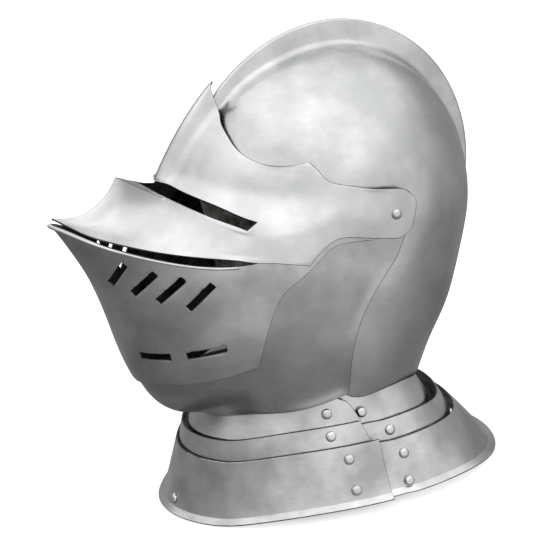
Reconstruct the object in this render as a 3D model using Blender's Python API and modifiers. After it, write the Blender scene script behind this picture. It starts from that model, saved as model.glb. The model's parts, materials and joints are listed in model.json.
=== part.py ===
"""Close helmet: a comb-crested skull with a lifting visor, ventail and bevor, over a gorget of three lames
front and back. Every plate turns on the two pivots, one at each temple.

Shapes are worked out in millimetres about the middle of the pivot axis: +X is the wearer's left, -Y the
way that the face looks, +Z up. An angle is in degrees, 0 straight ahead and 90 straight up. A share runs
from 0 at the pivot to 1 on the middle line of the helmet.
"""

from math import acos, asin, atan2, cos, degrees, hypot, pi, radians, sin

import bmesh
import bpy
import numpy as np
from mathutils import Matrix, Vector

MM = 0.001
PIVOT_HEIGHT = 224.0
PIVOT_SETBACK = 49.8
STEEL = 1.4
PLATE_GAP = 0.5
LAYER = STEEL + PLATE_GAP
SKULL_HALF_WIDTH = 98.3
BEVOR_HALF_WIDTH = SKULL_HALF_WIDTH + LAYER
VENTAIL_HALF_WIDTH = BEVOR_HALF_WIDTH + LAYER
VISOR_HALF_WIDTH = VENTAIL_HALF_WIDTH + LAYER
MERGE = 0.0001

# All plates bear on one another over the same shallow dish round the pivot.
DISH_RADIUS = 240.0
DISH_INNER = 20.0
DISH_OUTER = 52.0
PIVOT = Vector((0, PIVOT_SETBACK, PIVOT_HEIGHT)) * MM
PIVOT_SHANK = 2.5
PIVOT_HOLE = 2.9
PIVOT_HEAD = 4.1
RIVET_HEAD = 3.7
RIVET_RISE = 2.3
RIVET_SHANK = 1.5
RIVET_HOLE = 1.9
RIVET_LENGTH = 2.6
PIVOT_RISE = 2.6
PIVOT_SIDES = 10
RIVET_SIDES = 8
PIVOT_WASHER = 5.0
PIVOT_WASHER_DEPTH = 1.5
WASHER_GAP = 1.2
FIT = 0.3
SLOT_DEPTH = 14.0
SIDES = {"left": 1, "right": -1}
# points well inside the head and inside the gorget, which tell a sheet's outer face from its inner one
HEAD_INSIDE = Vector((0, -30, -30))
NECK_INSIDE = Vector((0, -20, -200))


def spline(rows):
    """A natural cubic through rows of (position, value, ...), as a function of the position."""
    table = np.array(rows, float)
    place, values = table[:, 0], table[:, 1:]
    count = len(place)
    step = np.diff(place)
    matrix = np.eye(count)
    bend = np.zeros_like(values)
    for i in range(1, count - 1):
        matrix[i, i - 1 : i + 2] = step[i - 1], 2 * (step[i - 1] + step[i]), step[i]
        slopes = np.diff(values[i - 1 : i + 2], axis=0) / step[i - 1 : i + 1, None]
        bend[i] = 6 * (slopes[1] - slopes[0])
    bend = np.linalg.solve(matrix, bend)

    def at(position):
        position = min(max(position, place[0]), place[-1])
        i = min(int(np.searchsorted(place, position, "right")) - 1, count - 2)
        wide = step[i]
        a = (place[i + 1] - position) / wide
        b = 1 - a
        curve = ((a**3 - a) * bend[i] + (b**3 - b) * bend[i + 1]) * wide * wide / 6
        found = a * values[i] + b * values[i + 1] + curve
        return float(found[0]) if len(found) == 1 else found

    return at


def rail(points, corner=None):
    """A smooth line through points, one at each whole station, with a sharp turn at the corner's station."""
    rows = [(i, *point) for i, point in enumerate(points)]
    if corner is None:
        return spline(rows)
    before = spline(rows[: corner + 1])
    after = spline(rows[corner:])
    return lambda station: before(station) if station <= corner else after(station)


def smooth(value):
    value = min(max(value, 0.0), 1.0)
    return value * value * (3 - 2 * value)


class Shell:
    """A plate's outer surface: ovals nested about the pivot axis, round at the side and met at the middle."""

    def __init__(self, half_width, reach, fullness=2.0, pinch=None, first=-180.0):
        self.half_width = half_width
        self.reach = spline(reach)
        self.fullness = fullness
        self.pinch = spline(pinch) if pinch else lambda angle: 2.0
        self.first = first

    def turn(self, angle):
        return (angle - self.first) % 360 + self.first

    def side(self, angle, out):
        """How far to the side the surface lies, at an angle and a distance out from the axis."""
        fall = 1 - min(out / self.reach(angle), 1.0) ** self.fullness
        own = self.half_width * fall ** (1 / self.pinch(angle))
        dish = self.half_width - out * out / (2 * DISH_RADIUS)
        blend = smooth((out - DISH_INNER) / (DISH_OUTER - DISH_INNER))
        return dish + (own - dish) * blend

    def point(self, angle, share):
        angle = self.turn(angle)
        out = self.reach(angle) * sin(share * pi / 2) ** (2 / self.fullness)
        across = self.half_width * cos(share * pi / 2) ** (2 / self.pinch(angle))
        if out < DISH_OUTER:
            across = self.side(angle, out)
        return Vector((across, -out * cos(radians(angle)), out * sin(radians(angle))))

    def share(self, angle, out):
        ratio = min(out / self.reach(self.turn(angle)), 1.0)
        return asin(ratio ** (self.fullness / 2)) * 2 / pi

    def share_at(self, angle, across):
        """The share at which the surface is that far from the middle line."""
        return acos((across / self.half_width) ** (self.pinch(self.turn(angle)) / 2)) * 2 / pi

    def disc(self, place):
        """A point given by its place in the flat disc whose rim is the middle line."""
        return self.point(degrees(atan2(place[1], place[0])), hypot(*place))


def on_disc(angle, share):
    return np.array((share * cos(radians(angle)), share * sin(radians(angle))))


# --- the four shells: rows of (angle, reach out to the middle line)
SKULL = Shell(
    SKULL_HALF_WIDTH,
    [(10, 124), (20, 118), (30, 113), (40, 111), (49, 110), (57, 108.5), (68, 106), (90, 104.5), (120, 106),
     (150, 106.3), (180, 106.3), (195, 108.9), (210, 112.8), (225, 123), (238, 138), (251.5, 160), (260, 188),
     (270, 222), (285, 230), (294, 212), (303, 198), (330, 165), (370, 124)],
    # rows of (angle, pinch): below 2, a plate comes to a keel along its middle
    pinch=[(10, 1.75), (30, 1.8), (45, 1.85), (60, 1.93), (80, 2), (370, 2)],
    first=10.0,
)
BEVOR = Shell(
    BEVOR_HALF_WIDTH,
    [(-140, 240), (-90, 240), (-75, 245), (-65, 223), (-57, 206), (-50, 195.5), (-46, 202), (-42, 206.5),
     (-38, 206), (-33, 202.5), (-25, 198), (-15, 194), (0, 190), (220, 190)],
    first=-140.0,
)
VENTAIL = Shell(
    VENTAIL_HALF_WIDTH,
    [(-100, 215), (-60, 215), (-45, 212), (-34, 206), (-25.4, 200), (-17.8, 196.6), (-11.9, 197.4),
     (-7, 201), (-2.5, 207.3), (2.3, 216.8), (4.8, 223.3), (9, 234), (20, 234), (260, 234)],
    fullness=2.1,
    pinch=[(-100, 2), (-34, 2), (-20, 1.9), (-10, 1.75), (-5, 1.58), (0, 1.42), (5, 1.3), (9, 1.25),
           (260, 1.25)],
    first=-100.0,
)
VISOR = Shell(
    VISOR_HALF_WIDTH,
    [(-80, 205), (-35, 203), (-20, 202), (-12, 204), (-5, 194), (3, 172), (8, 154), (14.5, 135), (18, 131.5),
     (24.7, 127), (33, 121.5), (43, 117), (49, 113), (60, 110), (90, 110), (280, 110)],
    pinch=[(-80, 2), (-12, 2), (0, 1.85), (8, 1.6), (14.5, 1.42), (30, 1.42), (43, 1.45), (60, 1.6), (90, 2),
           (280, 2)],
    first=-80.0,
)

# --- the comb, and the brow's hollow ridge that rides over it
COMB_TOP = spline(
    [(22, 118), (40, 120), (64, 121), (83, 122.6), (102, 124), (122, 124.6), (139, 125.3), (157, 125.2),
     (167, 124.8), (180, 124), (192, 122.5), (204, 120.5), (215, 121.5), (228, 127), (240, 142), (251.5, 160)]
)
# rows of (distance from the middle line, share of the crest's height)
COMB_SECTION = [(0, 1.0), (1.7, 1.0), (2.3, 0.8), (2.9, 0.32), (5.2, 0.09), (10, 0.0)]
RIDGE_TOP = spline([(13, 143.6), (23.3, 136.6), (33, 132.2), (42.8, 129.4), (50, 128.2)])
RIDGE_SECTION = [(0, 1.0), (2.2, 0.97), (4.6, 0.72), (7, 0.3), (11, 0.0)]

# --- the skull's sheet
SKULL_COLUMNS = 22
BOWL_ROWS = 8
BROW_ANGLE = 30.0
NAPE_ANGLE = 251.5
# rows of (angle, share)
FACE_EDGE = [(12, 0.45), (-5, 0.34), (-30, 0.29), (-50, 0.33), (-64, 0.43)]
NECK_EDGE = [(-108.5, 0.935), (-105.8, 0.733), (-100.5, 0.58), (-95, 0.48), (-86, 0.42), (-76, 0.43),
             (-64, 0.43)]

# --- the bevor's sheet
BEVOR_COLUMNS = 17
BEVOR_ROWS = 6
BEVOR_END = 17.5
BEVOR_UPPER = [(-32, 1.0), (-31.8, 0.74), (-28.5, 0.52), (-22, 0.41), (-12, 0.31), (-3, 0.21), (8, 0.14),
               (30, 0.1)]
BEVOR_LOWER = [(-50, 1.0), (-53.5, 0.74), (-61.5, 0.533), (-73.5, 0.405), (-69.2, 0.3), (-68.6, 0.2),
               (-80, 0.117), (-93, 0.087)]
BEVOR_CORNER = 3
BEVOR_ENDS = [(75, -132), (110, -148), (145, -165)]

# --- the ventail's sheet
VENTAIL_COLUMNS = 20
VENTAIL_ROWS = 6
VENTAIL_END = 16.5
VENTAIL_UPPER = [(5.2, 1.0), (4.2, 0.86), (1.6, 0.74), (-2, 0.6), (-5.5, 0.49), (-8, 0.4), (-9, 0.32),
                 (-8.8, 0.24), (-8.5, 0.17), (-7, 0.125), (5, 0.08)]
VENTAIL_LOWER = [(-33.7, 1.0), (-33.4, 0.87), (-35.4, 0.72), (-38.6, 0.585), (-42.5, 0.474), (-33.9, 0.385),
                 (-26, 0.315), (-23.2, 0.24), (-17, 0.17), (-20.5, 0.118), (-38, 0.071)]
VENTAIL_CORNER = 4
VENTAIL_ENDS = [(65, -72), (105, -105), (145, -140)]
SLOT_WIDTH = 5.0
# rows of (upper angle, upper share, lower angle, lower share): the ends of each slot on the wearer's left
SLOTS = [
    (-3.3, 0.701, -8.1, 0.824),
    (-6.2, 0.622, -10.7, 0.747),
    (-8.7, 0.549, -13.4, 0.666),
    (-12.2, 0.479, -17.1, 0.578),
    (-26.0, 0.848, -27.6, 0.710),
    (-28.7, 0.647, -31.5, 0.517),
]
# --- the visor's sheet
# the face columns lie at these distances from the middle line, and the arm columns follow on stations
FACE_COLUMNS = [0, 2.2, 4.6, 7, 11, 18, 28, 40, 53, 66, 78]
ARM_COLUMNS = 11
VISOR_END = 18.7
# rows of (distance from the middle line, angle): the upper rear edge and the sight's upper edge
UPPER_EDGE = spline([(0, 48.8), (5, 45.2), (10, 41.6), (25.5, 35.6), (39.5, 31.6), (51.9, 29.7), (61.8, 29.9),
                     (68.8, 32.2), (75.1, 37), (78, 40.6)])
BROW_EDGE = spline([(0, 13.6), (10, 13.1), (21.9, 12.4), (39.5, 11.3), (58.4, 9.5), (78, 6.3)])
# rows of (angle, share), from the sight's outer end back to the pivot
ARM_UPPER = [(40.6, 0.397), (38.4, 0.347), (35.8, 0.308), (36.7, 0.263), (45.6, 0.194), (63, 0.139)]
ARM_LOWER = [(-5.9, 0.411), (-8.3, 0.361), (-11.5, 0.3), (-19.4, 0.236), (-13.1, 0.188), (-10.6, 0.154),
             (-14, 0.123), (-29.7, 0.085)]
ARM_LOWER_CORNER = 3
VISOR_ENDS = [(98, -66.6), (125, -98), (152, -132)]
SIGHT_END = [(6.3, 0.423), (3.6, 0.432), (2.6, 0.433)]
UPPER_ROWS = 5
BEAK_ROWS = 5
VISOR_ROWS = UPPER_ROWS + 2 + BEAK_ROWS
# rows of (distance from the middle line, forward, up)
RIM_PEAK = (168.6, 42.9)
SIGHT_SILL = spline([(0, 151.3, 34.5), (28, 141.8, 27.3), (47, 131.0, 20.0), (64, 118.4, 12.4),
                     (78, 109.3, 7.0)])
BEAK_EDGE = spline([(0, 221, 24.2), (7, 213.2, 18.6), (16, 205.2, 12.9), (30, 192.2, 7.2), (54, 162.4, -2.7),
                    (70.6, 135.5, -9.1), (82.5, 117.1, -12.1)])
# rows of (distance from the middle line, depth): how far the beak's top is hollowed from the straight
BEAK_HOLLOW = spline([(0, 32.5), (14, 26), (30, 18), (54, 7), (82.5, -1)])
BEAK_REACH = 82.5
RIDGE = spline(RIDGE_SECTION)

# --- the gorget: rows of (height, half width, front, back), each the ring of a lame's outer face
NECK_Z = -149.0
NECK_LEAN = 0.19
BASE_LEAN = 0.12
SQUARE = 0.025
SIDE_ARCH = 7.0
RIM_Z = -PIVOT_HEIGHT
ARCH_START = 0.45
LAME_COLUMNS = 10
# rows of (turn at the top edge, turn at the foot): where each lame ends, at the side of the neck
LAME_ENDS = {
    "front_lame_upper": (93.3, 89.1),
    "front_lame_middle": (90.0, 88.2),
    "front_lame_lower": (86.8, 90.4),
}
REAR_END = 97.0
# a rear lame's end is drawn in to pass behind the front one
TUCK = 2.0
TUCK_START = 80.0
TUCK_END = 86.5
# how far a front lame's top edge is rounded down towards its end, below the skull's corner
CORNER_DROP = {"front_lame_upper": 8.5}
CORNER_START = 105.0
CORNER_END = 93.0
FRONT_LAMES = {
    "front_lame_upper": [(-140, 78.4, 116, 44), (-151, 79.3, 121, 51), (-165, 82.6, 130, 62)],
    "front_lame_middle": [(-164, 84.6, 134.5, 66), (-172, 87.5, 136.5, 70), (-182, 90.4, 138.5, 75)],
    "front_lame_lower": [(-178.5, 92.6, 140, 79), (-197, 96.6, 146.5, 92), (-217, 101.9, 154, 108),
                         (-222.6, 104.6, 157.0, 113), (-222.6, 107.0, 159.4, 116)],
}
REAR_LAMES = {
    "rear_lame_upper": [(-136, 71.6, 118, 39), (-151, 73.6, 121.5, 47), (-174, 80.5, 128, 60)],
    "rear_lame_middle": [(-169, 82.4, 131, 66.5), (-177, 85.0, 134, 71), (-188, 88.5, 136, 76)],
    "rear_lame_lower": [(-183, 90.4, 138, 79), (-200, 94.5, 144, 93), (-217, 99.5, 151.5, 105.5),
                        (-222.6, 102.0, 155.0, 110.5), (-222.6, 104.4, 157.4, 113.5)],
}
# rows of (lame, turn from the back, height): the rivets of the wearer's left side
FRONT_RIVETS = {
    "upper": ("front_lame_upper", 104.0, -148.6),
    "middle": ("front_lame_middle", 103.8, -163.9),
    "lower_high": ("front_lame_lower", 100.4, -181.6),
    "lower_low": ("front_lame_lower", 101.1, -204.7),
}
REAR_RIVETS = {
    "upper": ("rear_lame_upper", 85.4, -153.9),
    "middle": ("rear_lame_middle", 78.5, -170.1),
    "lower_high": ("rear_lame_lower", 79.3, -187.9),
    "lower_low": ("rear_lame_lower", 82.1, -208.2),
}
FRONT_CENTRE_RIVET = ("front_lame_lower", 180, -214.3)


def lifted(shell, angle, share, top, height):
    """A point of a shell, raised part of the way to a crest line that runs along its middle."""
    point = shell.point(angle, share)
    angle = shell.turn(angle)
    out = hypot(point.y, point.z)
    raised = (out + height * (top(angle) - shell.reach(angle))) / out
    return Vector((point.x, point.y * raised, point.z * raised))


def mix(first, second, part):
    return first + (second - first) * part


def swept(first, second, part):
    """A point part of the way between two of the disc, along an arc about the pivot."""
    angles = [degrees(atan2(spot[1], spot[0])) for spot in (first, second)]
    return on_disc(mix(*angles, part), mix(hypot(*first), hypot(*second), part))


# --- building helpers
def clear_scene():
    for obj in list(bpy.data.objects):
        bpy.data.objects.remove(obj, do_unlink=True)


def new_collection(name):
    found = bpy.data.collections.new(name)
    bpy.context.scene.collection.children.link(found)
    return found


def steel(name, shade, roughness):
    made = bpy.data.materials.new(name)
    made.use_nodes = True
    shader = made.node_tree.nodes["Principled BSDF"]
    shader.inputs["Base Color"].default_value = (shade, shade, shade, 1)
    shader.inputs["Metallic"].default_value = 1.0
    shader.inputs["Roughness"].default_value = roughness
    made.diffuse_color = (shade, shade, shade, 1)
    return made


def add_object(name, bm, material, parent=None):
    mesh = bpy.data.meshes.new(name)
    bm.to_mesh(mesh)
    bm.free()
    mesh.shade_smooth()
    mesh.set_sharp_from_angle(angle=radians(35))
    obj = bpy.data.objects.new(name, mesh)
    obj.parent = parent
    if material:
        mesh.materials.append(material)
        HELMET.objects.link(obj)
    else:
        CUTTERS.objects.link(obj)
        obj.hide_render = True
        obj.display_type = "WIRE"
    return obj


def axis_empty(name, parent=None):
    """An empty on the pivot axis: turning it about X lifts the plate that hangs on it."""
    empty = bpy.data.objects.new(name, None)
    empty.empty_display_size = 30 * MM
    empty.parent = parent
    empty.location = (0, 0, 0) if parent else PIVOT
    HELMET.objects.link(empty)
    return empty


def sheet(columns, rows, place, holes=(), inside=HEAD_INSIDE):
    """A sheet of columns by rows of faces, bent to shape by place(column, row), without its holes' faces."""
    bm = bmesh.new()
    bmesh.ops.create_grid(bm, x_segments=columns, y_segments=rows, size=1)
    cut = []
    for face in bm.faces:
        centre = face.calc_center_median()
        if (int((centre.x + 1) / 2 * columns), int((centre.y + 1) / 2 * rows)) in holes:
            cut.append(face)
    for vert in bm.verts:
        column = round((vert.co.x + 1) / 2 * columns)
        row = round((vert.co.y + 1) / 2 * rows)
        vert.co = place(column, row) * MM
    bmesh.ops.delete(bm, geom=cut, context="FACES")
    bm.normal_update()
    middle = inside * MM
    outward = [face.normal.dot(face.calc_center_median() - middle) * face.calc_area() for face in bm.faces]
    if sum(outward) < 0:
        bmesh.ops.reverse_faces(bm, faces=bm.faces)
    return bm


def plate(name, bm, material, parent, mirrored=True):
    """A plate of steel grown inward from its outer sheet, which is its left half if it is mirrored."""
    obj = add_object(name, bm, material, parent)
    if mirrored:
        mirror = obj.modifiers.new("other half", "MIRROR")
        mirror.use_clip = True
        mirror.merge_threshold = MERGE
    wall = obj.modifiers.new("steel", "SOLIDIFY")
    wall.thickness = STEEL * MM
    wall.offset = -1
    wall.use_even_offset = True
    wall.use_quality_normals = True
    return obj


def cut(obj, cutter):
    hole = obj.modifiers.new(cutter.name, "BOOLEAN")
    hole.object = cutter
    hole.solver = "EXACT"


def add_cylinder(bm, radius, start, end, sides):
    """A cylinder between two points given in millimetres."""
    along = (end - start) * MM
    turn = Vector((0, 0, 1)).rotation_difference(along).to_matrix().to_4x4()
    matrix = Matrix.Translation((start + end) / 2 * MM) @ turn
    bmesh.ops.create_cone(bm, cap_ends=True, segments=sides, radius1=radius * MM, radius2=radius * MM,
                          depth=along.length, matrix=matrix)


def spread(columns, last, centre, corner):
    """Stations for columns that lie evenly along a plate's centre line, with one right at its corner."""
    samples = np.linspace(0, last, 200)
    points = np.array([centre(station) for station in samples])
    run = np.concatenate([[0], np.cumsum(np.linalg.norm(np.diff(points, axis=0), axis=1))])
    stations = np.interp(np.linspace(0, run[-1], columns + 1), run, samples)
    stations[np.argmin(abs(stations - corner))] = corner
    return stations


def with_end(shell, edge, angles, radius):
    """An edge in the disc, carried on round the plate's end at a radius about the pivot."""
    rounded = [on_disc(angle, shell.share(angle, radius)) for angle in angles]
    return [on_disc(*point) for point in edge] + rounded


def banded(shell, upper, lower, ends, radius, columns, rows, corner):
    """place(column, row) for a plate that runs from the middle line back to a round end about the pivot."""
    top_points = with_end(shell, upper, [end[0] for end in ends], radius)
    foot_points = with_end(shell, lower, [end[1] for end in ends], radius)
    top = rail(top_points)
    foot = rail(foot_points, corner)
    last = len(top_points) - 1

    def centre(station):
        return shell.disc(mix(top(station), foot(station), 0.5))

    stations = spread(columns, last, centre, corner)

    def place(column, row):
        down = row / rows
        if column == 0:
            return shell.point(mix(upper[0][0], lower[0][0], down), 1.0)
        first, second = top(stations[column]), foot(stations[column])
        near_pivot = smooth(1.6 * column / columns)
        return shell.disc(mix(swept(first, second, down), mix(first, second, down), near_pivot))

    return place


# --- the skull
def skull_sheet():
    comb_rows = len(COMB_SECTION) - 1
    rows = comb_rows + BOWL_ROWS
    face = rail([on_disc(*point) for point in FACE_EDGE])
    neck = rail([on_disc(*point) for point in NECK_EDGE])
    brow_foot = on_disc(BROW_ANGLE, SKULL.share_at(BROW_ANGLE, COMB_SECTION[-1][0]))
    corners = face(0), neck(len(NECK_EDGE) - 1)

    def foot_line(along):
        angle = mix(BROW_ANGLE, NAPE_ANGLE, along)
        return on_disc(angle, SKULL.share_at(angle, COMB_SECTION[-1][0]))

    def place(column, row):
        along = column / SKULL_COLUMNS
        angle = mix(BROW_ANGLE, NAPE_ANGLE, along)
        if row <= comb_rows:
            across, height = COMB_SECTION[row]
            point = lifted(SKULL, angle, SKULL.share_at(angle, across), COMB_TOP, height)
            return Vector((across, point.y, point.z))
        down = (row - comb_rows) / BOWL_ROWS
        between = mix(foot_line(along), face(along * (len(FACE_EDGE) - 1)), down)
        front = mix(brow_foot, corners[0], down)
        back = neck(down * (len(NECK_EDGE) - 1))
        across = mix(front, back, along)
        flat = mix(mix(brow_foot, foot_line(1), along), mix(corners[0], corners[1], along), down)
        return SKULL.disc(between + across - flat)

    return sheet(SKULL_COLUMNS, rows, place)


# --- the visor
def visor_sheet():
    face_columns = len(FACE_COLUMNS) - 1
    columns = face_columns + ARM_COLUMNS
    arm_top = rail(with_end(VISOR, ARM_UPPER, [end[0] for end in VISOR_ENDS], VISOR_END))
    arm_foot = rail(with_end(VISOR, ARM_LOWER, [end[1] for end in VISOR_ENDS], VISOR_END), ARM_LOWER_CORNER)
    last = len(ARM_LOWER) + len(VISOR_ENDS) - 1

    def centre(station):
        return VISOR.disc(mix(arm_top(station), arm_foot(station), 0.5))

    stations = spread(ARM_COLUMNS, last, centre, ARM_LOWER_CORNER)
    sill_row = UPPER_ROWS + 1
    rim_row = UPPER_ROWS + 2
    rim_end = VISOR.disc(on_disc(*SIGHT_END[2]))

    def above_sight(across, row):
        angle = mix(UPPER_EDGE(across), BROW_EDGE(across), row / UPPER_ROWS)
        share = VISOR.share_at(angle, across)
        if across >= RIDGE_SECTION[-1][0]:
            return VISOR.point(angle, share)
        point = lifted(VISOR, angle, share, RIDGE_TOP, RIDGE(across))
        return Vector((across, point.y, point.z))

    def beak(across, down):
        part = across / FACE_COLUMNS[-1]
        rim = mix(Vector((0, -RIM_PEAK[0], RIM_PEAK[1])), rim_end, part)
        edge_x = BEAK_REACH * part
        forward, up = BEAK_EDGE(edge_x)
        edge = Vector((edge_x, -forward, up))
        chord = edge - rim
        inward = Vector((0, -chord.z, chord.y)).normalized()
        return mix(rim, edge, down) + inward * (2 * down * (1 - down) * BEAK_HOLLOW(edge_x))

    def side_spot(row):
        """Where the column at the sight's outer end meets each row, in the disc."""
        if row <= UPPER_ROWS:
            return swept(arm_top(0), on_disc(*SIGHT_END[0]), row / UPPER_ROWS)
        if row == sill_row:
            return on_disc(*SIGHT_END[1])
        return mix(on_disc(*SIGHT_END[2]), arm_foot(0), (row - rim_row) / BEAK_ROWS)

    def arm(column, row):
        along = (column - face_columns) / ARM_COLUMNS
        station = stations[column - face_columns]
        first = side_spot(row)
        part = (first - arm_top(0))[1] / (arm_foot(0) - arm_top(0))[1]
        bend = first - mix(arm_top(0), arm_foot(0), part)
        part = mix(part, row / VISOR_ROWS, smooth(along * 1.6))
        return VISOR.disc(mix(arm_top(station), arm_foot(station), part) + bend * (1 - smooth(along * 2)))

    def place(column, row):
        if column >= face_columns:
            return arm(column, row)
        across = FACE_COLUMNS[column]
        if row <= UPPER_ROWS:
            return above_sight(across, row)
        if row == sill_row:
            forward, up = SIGHT_SILL(across)
            return Vector((across, -forward, up))
        return beak(across, (row - rim_row) / BEAK_ROWS)

    sight = {(column, UPPER_ROWS) for column in range(face_columns)}
    return sheet(columns, VISOR_ROWS, place, sight)


# --- the gorget
def ring_point(ring, turn):
    """A point of a gorget ring, turned so many degrees from the back of the neck."""
    height, half_width, front, back = ring
    turn = radians(turn)
    lean = mix(NECK_LEAN, BASE_LEAN, (height - NECK_Z) / (RIM_Z - NECK_Z))
    across = half_width * (1 + lean * cos(turn) + SQUARE * (cos(2 * turn) + 1)) * sin(turn)
    along = mix(back, -front, (1 - cos(turn)) / 2)
    arch = SIDE_ARCH * smooth((abs(sin(turn)) - ARCH_START) / (1 - ARCH_START))
    return Vector((across, along, height + arch))


def lame_sheet(rings, first, ends, drop):
    top, foot = rings[0][0], rings[-1][0]

    def place(column, row):
        end = mix(*ends, (rings[row][0] - top) / (foot - top))
        turn = mix(first, end, column / LAME_COLUMNS)
        point = ring_point(rings[row], turn)
        if column == 0:
            point.x = 0
        elif first < end:
            point.x -= TUCK * smooth((turn - TUCK_START) / (TUCK_END - TUCK_START))
        if row == 0:
            point.z -= drop * smooth((CORNER_START - turn) / (CORNER_START - CORNER_END))
        return point

    return sheet(LAME_COLUMNS, len(rings) - 1, place, inside=NECK_INSIDE)


def on_lame(rings, turn, height):
    """The point of a lame's outer face at a turn and a height, and the way that it faces there."""
    def at(angle, level):
        rises = [ring_point(ring, angle).z for ring in rings]
        i = next(i for i in range(len(rings) - 1) if rises[i + 1] <= level or i == len(rings) - 2)
        part = (rises[i] - level) / (rises[i] - rises[i + 1])
        return mix(ring_point(rings[i], angle), ring_point(rings[i + 1], angle), part)

    point = at(turn, height)
    facing = (at(turn + 1, height) - at(turn - 1, height)).cross(at(turn, height - 1) - at(turn, height + 1))
    facing.normalize()
    return point, facing if facing.dot(point - NECK_INSIDE) > 0 else -facing


# --- rivets and pivots
def turned(profile, sides, name, material, parent):
    """A turned piece about +Z from a profile of (radius, height) that runs from its top to its foot."""
    bm = bmesh.new()
    verts = [bm.verts.new((radius * MM, 0, height * MM)) for radius, height in profile]
    for start, end in zip(verts, verts[1:]):
        bm.edges.new((start, end))
    obj = add_object(name, bm, material, parent)
    screw = obj.modifiers.new("turned", "SCREW")
    screw.steps = sides
    screw.render_steps = sides
    screw.use_merge_vertices = True
    screw.merge_threshold = 0.01 * MM
    screw.use_smooth_shade = True
    return obj


def dome(radius, rise):
    """The profile of a round head, from its crown to its rim."""
    return [(0, rise), (radius * sin(pi / 4), rise * cos(pi / 4)), (radius, 0)]


def stand(obj, point, facing):
    """Puts a turned piece's foot at a point, facing away from the steel."""
    obj.location = point * MM
    obj.rotation_mode = "QUATERNION"
    obj.rotation_quaternion = Vector((0, 0, 1)).rotation_difference(facing)


def add_pivot(side, parent):
    stack = VISOR_HALF_WIDTH - SKULL_HALF_WIDTH + STEEL + FIT + WASHER_GAP
    foot = -stack - PIVOT_WASHER_DEPTH
    profile = dome(PIVOT_HEAD, PIVOT_RISE) + [(PIVOT_SHANK, 0), (PIVOT_SHANK, -stack), (PIVOT_WASHER, -stack),
                                              (PIVOT_WASHER, foot), (0, foot)]
    obj = turned(profile, PIVOT_SIDES, "pivot_" + side, STEEL_FINISHES["pivot"], parent)
    facing = Vector((SIDES[side], 0, 0))
    stand(obj, facing * (VISOR_HALF_WIDTH + FIT), facing)


def add_rivet(name, point, facing, parent):
    shank = [(RIVET_SHANK, 0), (RIVET_SHANK, -RIVET_LENGTH), (0, -RIVET_LENGTH)]
    profile = dome(RIVET_HEAD, RIVET_RISE) + shank
    obj = turned(profile, RIVET_SIDES, name, STEEL_FINISHES["rivet"], parent)
    stand(obj, point + facing * FIT, facing)


def both_sides(point, facing):
    for side, sign in SIDES.items():
        flip = Vector((sign, 1, 1))
        yield side, point * flip, facing * flip


def add_gorget(prefix, lames, rivets, first, parent):
    """One half of the gorget: its lames, and the rivets through them."""
    drills = {name: bmesh.new() for name in lames}

    def rivet(name, lame, point, facing):
        add_rivet(name, point, facing, parent)
        reach = facing * (STEEL + 1)
        add_cylinder(drills[lame], RIVET_HOLE, point - reach, point + reach, RIVET_SIDES)

    for key, (lame, turn, height) in rivets.items():
        for side, point, facing in both_sides(*on_lame(lames[lame], turn, height)):
            rivet(f"{prefix}_rivet_{key}_{side}", lame, point, facing)
    if prefix == "front":
        lame, turn, height = FRONT_CENTRE_RIVET
        rivet("front_rivet_centre", lame, *on_lame(lames[lame], turn, height))
    for name, rings in lames.items():
        ends = LAME_ENDS.get(name, (REAR_END, REAR_END))
        shape = lame_sheet(rings, first, ends, CORNER_DROP.get(name, 0))
        obj = plate(name, shape, STEEL_FINISHES["lame"], parent)
        cut(obj, add_object(name + "_drill", drills[name], None, parent))


def add_slot_cutter(parent):
    """Twelve long boxes across the face plate's slots, and through it."""
    bm = bmesh.new()
    for upper_angle, upper_share, lower_angle, lower_share in SLOTS:
        top = VENTAIL.point(upper_angle, upper_share)
        foot = VENTAIL.point(lower_angle, lower_share)
        beside = VENTAIL.point((upper_angle + lower_angle) / 2 + 1, (upper_share + lower_share) / 2)
        centre = VENTAIL.point((upper_angle + lower_angle) / 2, (upper_share + lower_share) / 2)
        for sign in SIDES.values():
            flip = Vector((sign, 1, 1))
            long = ((foot - top) * flip).normalized()
            facing = long.cross((beside - centre) * flip).normalized()
            axes = Matrix((long, facing.cross(long), facing)).transposed().to_4x4()
            size = Matrix.Diagonal(((foot - top).length * MM, SLOT_WIDTH * MM, SLOT_DEPTH * MM, 1))
            place = Matrix.Translation(centre * flip * MM)
            bmesh.ops.create_cube(bm, size=1, matrix=place @ axes @ size)
    return add_object("slot_cutter", bm, None, parent)


def add_pivot_drill(parent):
    bm = bmesh.new()
    reach = Vector((VISOR_HALF_WIDTH + 10, 0, 0))
    add_cylinder(bm, PIVOT_HOLE, -reach, reach, PIVOT_SIDES)
    return add_object("pivot_drill", bm, None, parent)


clear_scene()
HELMET = new_collection("close_helmet")
CUTTERS = new_collection("cutters")
STEEL_FINISHES = {
    name: steel(name + "_steel", shade, roughness)
    for name, shade, roughness in [
        ("skull", 0.66, 0.26),
        ("visor", 0.66, 0.26),
        ("ventail", 0.63, 0.3),
        ("bevor", 0.63, 0.3),
        ("lame", 0.6, 0.32),
        ("pivot", 0.55, 0.3),
        ("rivet", 0.55, 0.3),
    ]
}

fixed = axis_empty("pivot_axis")
bevor_axis = axis_empty("bevor_axis", fixed)
ventail_axis = axis_empty("ventail_axis", bevor_axis)
visor_axis = axis_empty("visor_axis", ventail_axis)
pivot_drill = add_pivot_drill(fixed)

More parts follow.
